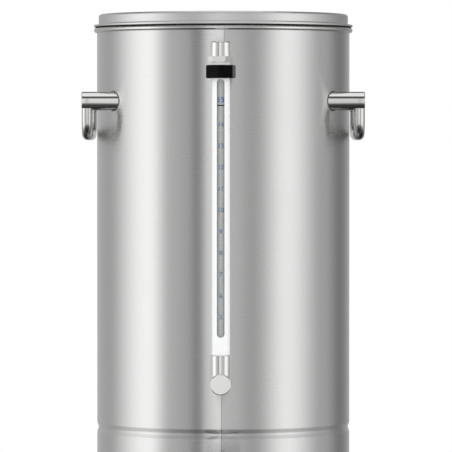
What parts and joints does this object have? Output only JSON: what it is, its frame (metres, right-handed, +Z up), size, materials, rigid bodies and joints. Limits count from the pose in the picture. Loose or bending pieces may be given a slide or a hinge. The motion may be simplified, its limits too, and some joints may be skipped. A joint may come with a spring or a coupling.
{
  "type": "hot water urn",
  "caption": "Tall double-walled steel hot water urn with lift-off lid, drop handles, front level gauge, lever tap and a heated base with thermostat knob and switch.",
  "frame": {"origin": "on the table, under the axis of the round body", "axes": "+Z up along the axis of the body; the level gauge and the tap face -Y; +X is to the right as seen from the front"},
  "size_m": [0.304, 0.344, 0.6138],
  "materials": {
    "brushed_steel": "satin",
    "polished_steel": "polished",
    "zinc_steel": "satin",
    "heater_steel": "matte",
    "black_rubber": "matte",
    "black_plastic": "satin",
    "white_plastic": "satin",
    "red_plastic": "gloss",
    "amber_plastic": "gloss",
    "gauge_glass": "clear",
    "brass": "satin",
    "mineral_wool": "matte"
  },
  "bodies": {
    "urn_body": {"outer_shell": "brushed_steel", "inner_tank": "polished_steel", "insulation_jacket": "mineral_wool", "base_plate": "brushed_steel", "base_screws": "zinc_steel", "foot_ring": "black_rubber", "foot_screws": "zinc_steel", "foot_nuts": "zinc_steel", "left_handle_posts": "polished_steel", "right_handle_posts": "polished_steel", "left_handle_pins": "polished_steel", "right_handle_pins": "polished_steel", "gauge_top_fitting": "polished_steel", "gauge_top_nipple": "polished_steel", "gauge_washer": "white_plastic", "gauge_union_nut": "black_plastic", "gauge_sleeve": "white_plastic", "gauge_glass": "gauge_glass", "gauge_o_rings": "black_rubber", "gauge_bottom_fitting": "polished_steel", "gauge_port_gaskets": "black_rubber", "gauge_port_nuts": "zinc_steel", "tap_body": "polished_steel", "tap_gland_nut": "polished_steel", "tap_gasket": "black_rubber", "tap_locknut": "zinc_steel", "drain_elbow": "zinc_steel", "heating_element": "heater_steel", "heater_clamp_plate": "zinc_steel", "heater_clamp_nut": "zinc_steel", "thermostat_body": "white_plastic", "thermostat_nut": "zinc_steel", "dial_plate": "brushed_steel", "thermostat_sensor": "brass", "sensor_clip": "zinc_steel", "safety_cutout": "black_plastic", "cutout_screws": "zinc_steel", "power_switch_housing": "black_plastic", "pilot_lamp_bezel": "polished_steel", "pilot_lamp_lens": "amber_plastic", "mains_inlet": "black_plastic", "mains_inlet_pins": "brass", "mains_inlet_screws": "zinc_steel", "terminal_block": "white_plastic", "terminal_block_screws": "zinc_steel", "earth_stud": "brass", "earth_nuts": "brass", "wiring": "black_plastic"},
    "lid_assembly": {"lid": "brushed_steel", "lid_seal": "black_rubber", "lid_handle": "polished_steel", "lid_handle_screws": "polished_steel"},
    "left_bail": {"left_handle_bail": "polished_steel"},
    "right_bail": {"right_handle_bail": "polished_steel"},
    "tap_valve": {"tap_plug": "brass", "tap_lever": "black_plastic", "tap_lever_screw": "zinc_steel"},
    "knob": {"thermostat_knob": "black_plastic", "thermostat_spindle": "polished_steel"},
    "rocker": {"power_switch_rocker": "red_plastic"}
  },
  "joints": [
    {"name": "lid_lift", "type": "slide", "parent": "urn_body", "child": "lid_assembly", "axis": [0, 0, 1], "range_m": [0, 0.15]},
    {"name": "left_handle", "type": "hinge", "parent": "urn_body", "child": "left_bail", "pos_m": [-0.146, 0, 0.519], "axis": [0, 1, 0], "range_deg": [0, 90]},
    {"name": "right_handle", "type": "hinge", "parent": "urn_body", "child": "right_bail", "pos_m": [0.146, 0, 0.519], "axis": [0, -1, 0], "range_deg": [0, 90]},
    {"name": "tap_turn", "type": "hinge", "parent": "urn_body", "child": "tap_valve", "pos_m": [0, -0.1855, 0.112], "axis": [0, 0, 1], "range_deg": [0, 90]},
    {"name": "knob_turn", "type": "hinge", "parent": "urn_body", "child": "knob", "pos_m": [0.08388, -0.12436, 0.075], "axis": [-0.5592, 0.829, 0], "range_deg": [0, 270]},
    {"name": "rocker_press", "type": "hinge", "parent": "urn_body", "child": "rocker", "pos_m": [-0.07661, -0.11358, 0.075], "axis": [-0.829, 0.5592, 0], "range_deg": [0, 16]}
  ]
}
